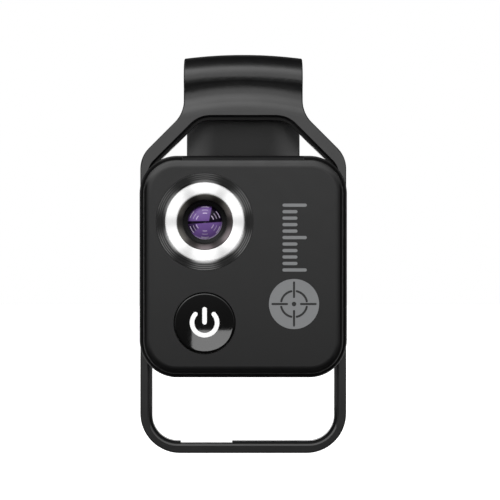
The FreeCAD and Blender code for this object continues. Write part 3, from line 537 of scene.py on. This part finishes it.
# Module shells and their screws
class CLIPLENS_OT_shells(bpy.types.Operator):
    """Finish the module's housing, covers and screws"""
    bl_idname = "cliplens.shells"
    bl_label = "Housing and Covers"
    # Front cover's edge: tips of its lit top and of the rest, and the directions that count as each
    top_tip, top_up, top_front = 0.24, (0.15, 0.4), (-0.3, -0.45)
    side_tip, side_up, side_front, side_soft = -0.35, (0.3, 0.05), (-0.82, -0.12), 0.06
    # Housing's front ledge: its depth, its outward lean, and the share of the width where its sides start
    ledge_reach, ledge_soft = 0.2 * MM, 0.05 * MM
    ledge_lean, ledge_power, ledge_sides = 0.9, 7.0, (0.58, 0.585)

    def execute(self, context):
        look = context.scene.cliplens_finish
        shell, rimmed = (moulded(name, look.shell_black, look.shell_roughness, Specular_IOR_Level=0.38)
                         for name in ("shell_matte", "housing_matte"))
        self.light_edges(shell.node_tree)
        dress(shell, "front_cover", "back_cover")
        self.round_ledge(rimmed.node_tree)
        dress(rimmed, "main_housing")
        dress(brushed("screw_blackened", (0.05, 0.05, 0.052), 0.35), "housing_screws")
        return {"FINISHED"}

    def light_edges(self, tree):
        """Tip the front edge: its top catches the light, its sides and foot lie in shade."""
        _, away, up = own_normal(tree)
        top = product(tree, fade(tree, up, *self.top_up), fade(tree, away, *self.top_front))
        rest = product(tree, between(tree, away, *self.side_front, self.side_soft),
                       fade(tree, up, *self.side_up))
        top_x, top_z = facing(tree, top, self.top_tip)
        rest_x, rest_z = facing(tree, rest, self.side_tip)
        lean_normals(tree, total(tree, top_x, rest_x), total(tree, top_z, rest_z))

    def round_ledge(self, tree):
        """Round the housing's narrow front ledge outwards, with its sides and corners tipped into shade."""
        low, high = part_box("main_housing")
        x, y, z = own_place(tree)
        on_ledge = flat_at(tree, y, low.y, self.ledge_reach, self.ledge_soft)
        shares, leans = [], []
        for position, start, end in ((x, low.x, high.x), (z, low.z, high.z)):
            out = calc(tree, "DIVIDE", calc(tree, "SUBTRACT", position, (start + end) / 2), (end - start) / 2)
            shares.append(out)
            leans.append(product(tree, calc(tree, "POWER", out, self.ledge_power), self.ledge_lean))
        beside = fade(tree, calc(tree, "ABSOLUTE", shares[0]), *self.ledge_sides)
        tip = product(tree, calc(tree, "SUBTRACT", self.side_tip, leans[1]), beside)
        leans[1] = total(tree, leans[1], tip)
        lean_normals(tree, *(product(tree, lean, on_ledge) for lean in leans))


# Marks printed on the front cover
class CLIPLENS_OT_marks(bpy.types.Operator):
    """Print a plain tick scale and a target disc on the front cover"""
    bl_idname = "cliplens.marks"
    bl_label = "Printed Marks"
    ticks, fifth = 10, 5
    # Lines on the disc, in shares of its radius, and the degrees that each arc leaves free at its ends
    line_share, arc_share, arc_free = 0.085, 0.52, 12
    cross_near, cross_far, dot_share = 0.28, 0.86, 0.09

    def execute(self, context):
        marks, look = context.scene.cliplens_marks, context.scene.cliplens_finish
        fine = {"grain": 5200.0, "depth": 0.003 * MM}
        grey_ink = moulded("ink_grey", look.print_grey, 0.5, spread=0.06, **fine)
        black_ink = moulded("ink_black", look.shell_black, 0.42, **fine)
        self.print_scale(marks, grey_ink)
        self.print_target(marks, grey_ink, black_ink)
        return {"FINISHED"}

    def print_scale(self, marks, ink):
        work = bmesh.new()
        half = marks.tick_width / 2
        pitch = (marks.scale_height - marks.tick_width) / self.ticks
        for i in range(self.ticks + 1):
            reach = marks.tick_short if i % self.fifth else marks.tick_long
            z = marks.scale_top - half - pitch * i
            tick = line_points(marks.scale_left + half, z, marks.scale_left + reach - half, z)
            stroke(work, tick, marks.tick_width, lambda *_: COVER_FACE - marks.ink, marks.ink * 2)
        new_piece("tick_scale", work, ink, "module")

    def print_target(self, marks, ground, lines):
        x, z, radius, ink = marks.target_x, marks.target_z, marks.target_radius, marks.ink
        centre = Vector((x, 0, z))
        work = bmesh.new()
        front, rear = COVER_FACE - ink / 2, COVER_FACE + ink
        turned(work, [(0, front), (radius, front), (radius, rear), (0, rear)], centre)
        new_piece("target_disc", work, ground, "module")
        work = bmesh.new()
        width, front, dot = radius * self.line_share, COVER_FACE - ink, radius * self.dot_share
        for start in range(0, 360, 90):
            first, last = start + self.arc_free, start + 90 - self.arc_free
            arc = arc_points(x, z, radius * self.arc_share, first, last, 12)
            stroke(work, arc, width, lambda *_: front, ink)
            way = Vector((math.cos(math.radians(start)), math.sin(math.radians(start)))) * radius
            cross = [Vector((x, z)) + way * reach for reach in (self.cross_near, self.cross_far)]
            stroke(work, cross, width, lambda *_: front, ink)
        turned(work, [(0, front), (dot, front), (dot, COVER_FACE), (0, COVER_FACE)], centre, 32)
        new_piece("target_lines", work, lines, "module")


# Bezel and lamp ring
class CLIPLENS_OT_lamp(bpy.types.Operator):
    """Finish the turned bezel, with a sheen painted onto its fine rings in six sectors, and the white lamp
    ring, with painted shade between six sectors
    """
    bl_idname = "cliplens.lamp"
    bl_label = "Bezel and Lamp Ring"
    # Turned lines of the bezel: pitch, painted sheen from groove to crest and by direction, and greys of the
    # painted sheen and of the painted highlight at the bore
    line_pitch, line_light, line_mean, line_swing = 0.38 * MM, (0.15, 1.25), 0.72, 0.22
    line_grey, glow_grey, glow_radii = 0.17, 0.34, (8.15 * MM, 7.75 * MM)
    # Moulded rings of the diffuser: pitch, painted highlight on the crests, and greys of its painted shade
    # between six sectors
    ring_pitch, ring_light, dim_grey, dim_glow = 0.3 * MM, 0.2, 0.56, 0.65

    def execute(self, context):
        look = context.scene.cliplens_finish
        dress(self.turned_bezel(look.bezel_black), "bezel_ring")
        dress(self.diffuser(look.lamp_white), "light_ring")
        return {"FINISHED"}

    def turned_bezel(self, black):
        material, tree, shader = new_material("bezel_turned", Specular_IOR_Level=0.45)
        radius, angle, _, _ = polar(tree, LENS)
        lines = ripples(tree, radius, self.line_pitch)
        sectors = six_sectors(tree, angle)
        # Painted sheen: the turned lines are lighter in six sectors, on their crests and towards the lower
        # right
        lit = product(tree, sectors, fade(tree, lines, -1.0, 1.0, *self.line_light),
                      lower_right(tree, angle, self.line_mean, self.line_swing))
        # Painted highlight at the bore's edge, in the same six sectors
        glow = product(tree, fade(tree, radius, *self.glow_radii), sectors)
        base = blend(tree, lit, tint(black), grey(self.line_grey))
        feed(tree, shader.inputs["Base Color"], blend(tree, glow, base, grey(self.glow_grey)))
        wander(tree, shader, noise(tree, 900.0), 0.3, 0.4)
        bump(tree, shader, lines, 0.012 * MM, 0.8)
        return material

    def diffuser(self, white):
        material, tree, shader = new_material("diffuser_white", Emission_Strength=0.33)
        radius, angle, _, _ = polar(tree, LENS)
        rings = ripples(tree, radius, self.ring_pitch)
        # Painted shade: the diffuser is full white in six sectors and on the ring crests, and dims elsewhere
        # in both its colour and its glow
        clear = calc(tree, "MAXIMUM", six_sectors(tree, angle, 0.35),
                     fade(tree, rings, -1.0, 1.0, 0.0, self.ring_light))
        feed(tree, shader.inputs["Base Color"], blend(tree, clear, grey(self.dim_grey), tint(white)))
        feed(tree, shader.inputs["Emission Color"], blend(tree, clear, grey(self.dim_glow), grey(1.0)))
        wander(tree, shader, noise(tree, 700.0), 0.28, 0.4)
        bump(tree, shader, rings, 0.004 * MM, 0.6)
        return material


# Lens, its barrel and its retaining ring
class CLIPLENS_OT_lens(bpy.types.Operator):
    """Finish the anodised barrel and the coated glass"""
    bl_idname = "cliplens.lens"
    bl_label = "Lens"
    # Barrel's cone: its inner edge, the radii over which its painted shade lightens, and its warm and its
    # lilac painted sheen
    cone_edge, cone_radii, cone_least = (4.25 * MM, 4.4 * MM), (3.9 * MM, 5.4 * MM), 0.1
    sector_share, cone_mean, cone_swing = 0.8, 0.78, 0.1
    sheen_warm, sheen_lilac = [0.19, 0.18, 0.16, 1.0], [0.24, 0.2, 0.21, 1.0]
    lilac_angle, lilac_reach = -50, 100
    # Clear part of the glass as a share of the lens. All that follows is in shares of its radius
    glass_share = 0.8
    # Painted dark reflections of the room: a wedge, a needle, a corner and the rim
    wedge_slope, wedge_side, wedge_foot = 0.2, (0.2, 0.26), (0.0, 0.06)
    needle_slope, needle_half, needle_top, needle_foot = 0.07, 0.05, (0.03, -0.01), (-0.03, 0.01)
    corner_angle, corner_reach, corner_radii, corner_share = 203, 26, (0.5, 0.66), 0.8
    rim_radii, dark_violet = (1.0, 1.06), [0.008, 0.004, 0.014, 1.0]
    # Painted reflection of the lamp ring in the coating: radius and strength of each arc, and their facets
    arcs = ((0.91, 1.0), (0.72, 0.5), (0.53, 0.9))
    arc_half, arc_soft, arc_facets, arc_lilac = 0.026, 0.014, (0.4, 0.75), [0.74, 0.62, 0.86, 1.0]
    # Painted reflection of a light crescent at the rim: radii, softness, strength, direction and reach
    crescent_radii, crescent_soft, crescent_strength = (0.96, 1.05), 0.03, 0.75
    crescent_angle, crescent_reach = -65, 75

    def execute(self, context):
        look = context.scene.cliplens_finish
        dress(self.anodised_barrel(look.barrel_brown), "lens_barrel")
        dress(moulded("ring_blackened", (0.003, 0.003, 0.003), 0.5, Specular_IOR_Level=0.2),
              "lens_retainer", "lens_spacer", "aperture_stop")
        dress(self.coated_glass(look.coating), "objective_lens", "second_lens")
        dress(self.clear_glass(), "rear_window")
        return {"FINISHED"}

    def anodised_barrel(self, brown):
        material, tree, shader = new_material("barrel_anodised", Specular_IOR_Level=0.3)
        radius, angle, _, _ = polar(tree, LENS)
        # Painted shade: the cone darkens towards its inner edge
        cone = product(tree, fade(tree, radius, *self.cone_edge),
                       fade(tree, radius, *self.cone_radii, self.cone_least, 1.0))
        # Painted sheen: lighter in six sectors and towards the lower right, where it turns from warm to lilac
        sectors = product(tree, six_sectors(tree, angle), self.sector_share)
        lit = product(tree, cone, total(tree, sectors, 1 - self.sector_share),
                      lower_right(tree, angle, self.cone_mean, self.cone_swing))
        lilac = near_angle(tree, angle, self.lilac_angle, self.lilac_reach)
        sheen = blend(tree, lilac, self.sheen_warm, self.sheen_lilac)
        feed(tree, shader.inputs["Base Color"], blend(tree, lit, tint(brown, 0.5), sheen))
        wander(tree, shader, noise(tree, 900.0), 0.3, 0.38)
        bump(tree, shader, noise(tree, 3000.0), 0.003 * MM)
        return material

    def clear_glass(self):
        material, tree, shader = new_material("glass_clear", Transmission_Weight=1.0, IOR=1.5)
        wander(tree, shader, noise(tree, 400.0), 0.01, 0.03)
        faint_blue = [0.95, 0.97, 1.0, 1.0]
        feed(tree, shader.inputs["Base Color"], blend(tree, noise(tree, 200.0), faint_blue, grey(1.0)))
        return material

    def coated_glass(self, coating):
        """Violet coating, painted lighter towards the bottom, with painted reflections of the lamp ring's
        sectors and of the dark room.
        """
        material, tree, shader = new_material("coated_glass", Specular_IOR_Level=0.15)
        low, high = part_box("objective_lens")
        glass = (high.x - low.x) / 2 * self.glass_share
        radius, angle, across, up = polar(tree, LENS)
        r, x, z = (calc(tree, "DIVIDE", reach, glass) for reach in (radius, across, up))
        # Painted light: the violet is lighter towards the bottom
        violet = blend(tree, fade(tree, z, 0.0, -1.0), tint(coating, 1.05), tint(coating, 1.25))
        violet = blend(tree, fade(tree, noise(tree, 500.0, 3.0), 0.35, 0.65), violet, tint(coating, 1.15))
        base = blend(tree, self.dark_parts(tree, angle, r, x, z), violet, self.dark_violet)
        facets = fade(tree, six_sectors(tree, angle), *self.arc_facets)
        # Painted reflections of the lamp ring: arcs broken into six facets
        for arc_radius, strength in self.arcs:
            arc = between(tree, r, arc_radius - self.arc_half, arc_radius + self.arc_half, self.arc_soft)
            base = blend(tree, product(tree, arc, facets, strength), base, self.arc_lilac)
        # Painted reflection: a light crescent at the rim towards the lower right
        crescent = product(tree, between(tree, r, *self.crescent_radii, self.crescent_soft),
                           near_angle(tree, angle, self.crescent_angle, self.crescent_reach),
                           self.crescent_strength)
        feed(tree, shader.inputs["Base Color"], blend(tree, crescent, base, self.arc_lilac))
        wander(tree, shader, noise(tree, 300.0), 0.06, 0.1)
        return material

    def dark_parts(self, tree, angle, r, x, z):
        """1 where the dark of the room is painted on the coating as a reflection."""
        slant = calc(tree, "SUBTRACT", x, product(tree, z, self.wedge_slope))
        wedge = product(tree, fade(tree, slant, *self.wedge_side), fade(tree, z, *self.wedge_foot))
        above = calc(tree, "SUBTRACT", z, self.needle_half)
        below = total(tree, calc(tree, "SUBTRACT", z, product(tree, x, self.needle_slope)), self.needle_half)
        needle = product(tree, fade(tree, above, *self.needle_top), fade(tree, below, *self.needle_foot))
        corner = product(tree, near_angle(tree, angle, self.corner_angle, self.corner_reach),
                         fade(tree, r, *self.corner_radii), self.corner_share)
        dark = fade(tree, r, *self.rim_radii)
        for part in (wedge, needle, corner):
            dark = calc(tree, "MAXIMUM", dark, part)
        return dark


# Power button
class CLIPLENS_OT_button(bpy.types.Operator):
    """Build the polished button cap and print its power symbol"""
    bl_idname = "cliplens.button"
    bl_label = "Power Button"
    # Cap: radii of its face, flange and post, depths of the flange, crown's radius and edge rounding
    radius, flange, post = 5.8 * MM, 6.7 * MM, 1.6 * MM
    flange_front, flange_rear = -11.4 * MM, -10.8 * MM
    crown_round, edge_round, face_rings = 84.0 * MM, 0.3 * MM, 24
    # Power symbol: how far its ring lies above the middle, the ring's angles, and the bar's two ends
    ring_rise, ring_angles, bar_heights = 0.1 * MM, (137, 403), (0.19 * MM, 2.66 * MM)

    def face_level(self, distance, sink):
        """Depth of the crowned face at a distance from its middle."""
        return BUTTON_FACE + sink + distance ** 2 / (2 * self.crown_round)

    def execute(self, context):
        marks, look = context.scene.cliplens_marks, context.scene.cliplens_finish
        self.build_cap(marks.ink, look.button_black)
        self.print_symbol(marks, look.symbol_white)
        return {"FINISHED"}

    def build_cap(self, ink, black):
        flat = self.radius - self.edge_round
        steps = [flat * i / self.face_rings for i in range(self.face_rings)]
        profile = [(distance, self.face_level(distance, ink)) for distance in steps]
        corner, side = (self.radius, self.face_level(self.radius, ink)), (self.radius, self.flange_front)
        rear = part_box("power_button")[1].y
        profile += rounded(corner, self.edge_round, profile[-1], side)
        profile += [side, (self.flange, self.flange_front), (self.flange, self.flange_rear),
                    (self.post, self.flange_rear), (self.post, rear), (0, rear)]
        work = bmesh.new()
        turned(work, profile, BUTTON, 128)
        gloss = moulded("button_polished", black, 0.05, grain=300.0, depth=0.0005 * MM,
                        Specular_IOR_Level=0.5)
        cap = new_piece("button_cap", work, gloss, "button")
        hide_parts("power_button")

    def print_symbol(self, marks, white):
        def level(x, z):
            return self.face_level(math.hypot(x - BUTTON.x, z - BUTTON.z), marks.ink * 0.1)

        foot, top = (BUTTON.z + height for height in self.bar_heights)
        work = bmesh.new()
        ring = arc_points(BUTTON.x, BUTTON.z + self.ring_rise, marks.symbol_radius, *self.ring_angles, 56)
        bar = line_points(BUTTON.x, foot, BUTTON.x, top, 8)
        for line in (ring, bar):
            stroke(work, line, marks.symbol_stroke, level, marks.ink * 1.5)
        # Painted glow: a faint emission lifts the printed symbol's white
        paint = moulded("symbol_white", white, 0.35, grain=5200.0, depth=0.002 * MM, spread=0.02,
                        Emission_Color=grey(1.0), Emission_Strength=0.15)
        new_piece("power_symbol", work, paint, "button")


# Charging socket, boards, lamps and battery
class CLIPLENS_OT_inside(bpy.types.Operator):
    """Finish the boards, battery, switch and socket, and lay the socket's contacts"""
    bl_idname = "cliplens.inside"
    bl_label = "Inside"
    # Contacts on each face of the socket's tongue: how many, their width, how proud they stand, and how
    # far they end from the tongue's mouth and root
    contacts, contact_width, contact_proud = 6, 0.3 * MM, 0.02 * MM
    mouth_inset, root_inset = 0.3 * MM, 0.4 * MM

    def execute(self, context):
        dress(moulded("board_lacquer", (0.015, 0.1, 0.05), 0.3, spread=0.25), "led_board", "main_board")
        dress(moulded("chip_epoxy", (0.02, 0.02, 0.02), 0.55),
              "board_chips", "switch_body", "switch_plunger", "socket_tongue")
        dress(moulded("lamp_phosphor", (0.85, 0.75, 0.25), 0.4, spread=0.05), "leds")
        dress(brushed("nickel_plate", (0.55, 0.54, 0.52), 0.25), "charge_socket")
        dress(brushed("pouch_foil", (0.6, 0.6, 0.62), 0.3, stretch=3.0), "battery")
        dress(moulded("foam_tape", (0.75, 0.75, 0.7), 0.9, grain=900.0, depth=0.05 * MM), "battery_tape")
        self.lay_contacts(brushed("contact_gold", (0.75, 0.5, 0.18), 0.22))
        return {"FINISHED"}

    def lay_contacts(self, gold):
        low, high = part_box("socket_tongue")
        pitch = (high.x - low.x) / (self.contacts + 1)
        half = self.contact_width / 2
        work = bmesh.new()
        for side, sense in ((low.y, -1), (high.y, 1)):
            proud = sense * self.contact_proud
            for i in range(self.contacts):
                x = low.x + pitch * (i + 1)
                corners = [(x + across, side + out, z)
                           for z in (low.z + self.mouth_inset, high.z - self.root_inset)
                           for across, out in ((-half, -proud), (half, -proud),
                                               (half, proud), (-half, proud))]
                verts = [work.verts.new(corner) for corner in corners]
                for quad in ((0, 1, 2, 3), (7, 6, 5, 4), (0, 4, 5, 1),
                             (1, 5, 6, 2), (2, 6, 7, 3), (3, 7, 4, 0)):
                    work.faces.new([verts[k] for k in quad])
        new_piece("socket_contacts", work, gold, "module")


# Stage: floor, room, lamps and camera
# Light of the room by direction: how it changes with height, with depth behind the clip and across
HEIGHT_LIGHT = ((-1.0, 0.02), (-0.4, 0.03), (-0.18, 0.05), (0.0, 0.12), (0.16, 0.2), (0.26, 1.3), (0.42, 2.2),
                (0.55, 2.5), (0.66, 3.2), (0.73, 3.0), (0.81, 0.8), (0.9, 0.15), (1.0, 0.05))
DEPTH_LIGHT = ((-1.0, 1.0), (-0.35, 1.0), (0.0, 0.8), (0.2, 0.3), (0.4, 0.04), (1.0, 0.04))
WIDTH_LIGHT = ((-1.0, 0.1), (-0.9, 0.25), (-0.6, 1.1), (0.0, 1.0), (0.35, 0.6), (0.8, 0.15), (1.0, 0.08))
# Light from both sides: its level, and where it fades across, in height and towards the back
SIDE_LIGHT, SIDE_ACROSS, SIDE_HEIGHT, SIDE_BACK = 0.45, (0.6, 0.9), (-0.35, 0.05), (0.55, 0.15)
# Directions of the white card's edge, straight behind the clip
CARD_EDGE = (0.965, 0.985)
# Floor: front, rear and half width in metres, where its shine starts behind the clip, and the shine
FLOOR_NEAR, FLOOR_FAR, FLOOR_SIDE, FLOOR_FADE, FLOOR_SHINE = 0.0, 2.0, 1.6, (0.2, 0.5), 0.7
# Soft lamps: place, size, power, and the pieces that a lamp leaves out or is kept to
LAMPS = (
    ("lamp_above", (-0.06, -0.36, 0.45), (0.45, 0.3), 0.7, "EXCLUDE", ("clip_frame",)),
    ("lamp_front", (0.0, -1.0, 0.085), (1.8, 0.33), 2.75, "EXCLUDE", ("button_cap", "objective_lens")),
    ("lamp_rear", (0.0, 1.0, 0.12), (0.9, 0.5), 1.4, "EXCLUDE", ()),
    ("lamp_button", (0.033, -0.98, -0.19), (0.286, 0.16), 0.65, "INCLUDE", ("button_cap", "power_symbol")),
)


def seen_rays(tree, gloss_share):
    """1 for rays that should meet the plain background: direct, through glass, and a share of gloss."""
    path = tree.nodes.new("ShaderNodeLightPath")
    seen = calc(tree, "MAXIMUM", (path, "Is Camera Ray"), (path, "Is Transmission Ray"))
    return calc(tree, "MAXIMUM", seen, product(tree, (path, "Is Glossy Ray"), gloss_share))


def make_room():
    """White to the camera; a bright front and ceiling to light by, and a white card straight behind."""
    world = bpy.data.worlds.new("studio_room")
    bpy.context.scene.world = world
    world.use_nodes = True
    tree = world.node_tree
    room = tree.nodes["Background"]
    room.inputs["Color"].default_value = grey(1.0)
    x, y, z = split(tree, "ShaderNodeTexCoord", "Generated")
    level = product(tree, ramp(tree, z, HEIGHT_LIGHT, -1.0), ramp(tree, y, DEPTH_LIGHT, -1.0),
                    ramp(tree, x, WIDTH_LIGHT, -1.0))
    sides = product(tree, fade(tree, calc(tree, "ABSOLUTE", x), *SIDE_ACROSS),
                    fade(tree, z, *SIDE_HEIGHT, 0.0, SIDE_LIGHT), fade(tree, y, *SIDE_BACK))
    feed(tree, room.inputs["Strength"], total(tree, level, sides))
    plain = new_node(tree, "ShaderNodeBackground", Color=grey(1.0), Strength=1.0)
    mix = new_node(tree, "ShaderNodeMixShader", Fac=seen_rays(tree, fade(tree, y, *CARD_EDGE)))
    tree.links.new(room.outputs["Background"], mix.inputs[1])
    tree.links.new(plain.outputs["Background"], mix.inputs[2])
    tree.links.new(mix.outputs["Shader"], tree.nodes["World Output"].inputs["Surface"])


def make_floor(drop):
    """A pale board under and behind the clip."""
    low = CAD_BOX[0][2] - drop
    corners = [(-FLOOR_SIDE, FLOOR_NEAR, low), (FLOOR_SIDE, FLOOR_NEAR, low),
               (FLOOR_SIDE, FLOOR_FAR, low), (-FLOOR_SIDE, FLOOR_FAR, low)]
    mesh = bpy.data.meshes.new("floor")
    mesh.from_pydata(corners, [], [(0, 1, 2, 3)])
    floor = bpy.data.objects.new("floor", mesh)
    bpy.context.scene.collection.objects.link(floor)
    material, tree, shader = new_material("floor_pale", Roughness=0.9, Emission_Color=grey(1.0))
    feed(tree, shader.inputs["Base Color"], blend(tree, noise(tree, 8.0), grey(0.84), grey(0.88)))
    _, y, _ = own_place(tree)
    shine = product(tree, seen_rays(tree, fade(tree, y, *FLOOR_FADE)), FLOOR_SHINE)
    feed(tree, shader.inputs["Emission Strength"], shine)
    mesh.materials.append(material)


def make_soft_lamp(name, where, size, power, state, pieces):
    """A plain rectangular soft lamp aimed at the clip."""
    lamp = bpy.data.lights.new(name, "AREA")
    lamp.shape = "RECTANGLE"
    lamp.size, lamp.size_y = size
    lamp.energy = power
    holder = bpy.data.objects.new(name, lamp)
    holder.location = where
    holder.rotation_euler = (-Vector(where)).to_track_quat("-Z", "Y").to_euler()
    holder.visible_camera = False
    bpy.context.scene.collection.objects.link(holder)
    if pieces:
        linked = bpy.data.collections.new(name + "_pieces")
        for piece in pieces:
            linked.objects.link(bpy.data.objects[piece])
        holder.light_linking.receiver_collection = linked
        for item in linked.collection_objects:
            item.light_linking.link_state = state


def make_camera(stage):
    """The photograph's view: level and square on, the clip's centre line a little left of the middle."""
    camera = bpy.data.cameras.new("camera")
    camera.sensor_fit = "HORIZONTAL"
    camera.lens = stage.focal_pixels / PHOTO_PIXELS * camera.sensor_width
    camera.shift_x = 0.5 - stage.middle_x / PHOTO_PIXELS
    camera.shift_y = stage.middle_y / PHOTO_PIXELS - 0.5
    camera.clip_start = 0.01
    holder = bpy.data.objects.new("camera", camera)
    holder.location = (0.0, LOOP_FRONT - stage.camera_distance, 0.0)
    holder.rotation_euler = (math.pi / 2, 0.0, 0.0)
    bpy.context.scene.collection.objects.link(holder)
    bpy.context.scene.camera = holder


class CLIPLENS_OT_stage(bpy.types.Operator):
    """Set the pale floor, the room, the soft lamps and the camera"""
    bl_idname = "cliplens.stage"
    bl_label = "Stage"

    def execute(self, context):
        stage = context.scene.cliplens_stage
        make_room()
        make_floor(stage.floor_drop)
        for lamp in LAMPS:
            make_soft_lamp(*lamp)
        make_camera(stage)
        context.scene.view_settings.view_transform = "Standard"
        return {"FINISHED"}


class CLIPLENS_PT_panel(bpy.types.Panel):
    """Lists the sizes, the colours and the making steps"""
    bl_label = "Clip Lens"
    bl_space_type = "VIEW_3D"
    bl_region_type = "UI"
    bl_category = "Clip Lens"

    def draw(self, context):
        scene = context.scene
        for group in (scene.cliplens_finish, scene.cliplens_marks, scene.cliplens_stage):
            for name in group.__annotations__:
                self.layout.prop(group, name)
        for step in STEPS:
            self.layout.operator("cliplens." + step)


STEPS = ("clip", "shells", "marks", "lamp", "lens", "button", "inside", "stage")
GROUPS = {"cliplens_finish": ClipLensFinish, "cliplens_marks": ClipLensMarks, "cliplens_stage": ClipLensStage}
CLASSES = (*GROUPS.values(), CLIPLENS_OT_clip, CLIPLENS_OT_shells, CLIPLENS_OT_marks, CLIPLENS_OT_lamp,
           CLIPLENS_OT_lens, CLIPLENS_OT_button, CLIPLENS_OT_inside, CLIPLENS_OT_stage, CLIPLENS_PT_panel)


def register():
    for item in CLASSES:
        bpy.utils.register_class(item)
    for name, group in GROUPS.items():
        setattr(bpy.types.Scene, name, bpy.props.PointerProperty(type=group))


def unregister():
    for name in GROUPS:
        delattr(bpy.types.Scene, name)
    for item in reversed(CLASSES):
        bpy.utils.unregister_class(item)


def main():
    """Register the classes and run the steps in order."""
    register()
    for step in STEPS:
        getattr(bpy.ops.cliplens, step)()


if __name__ == "__main__":
    main()
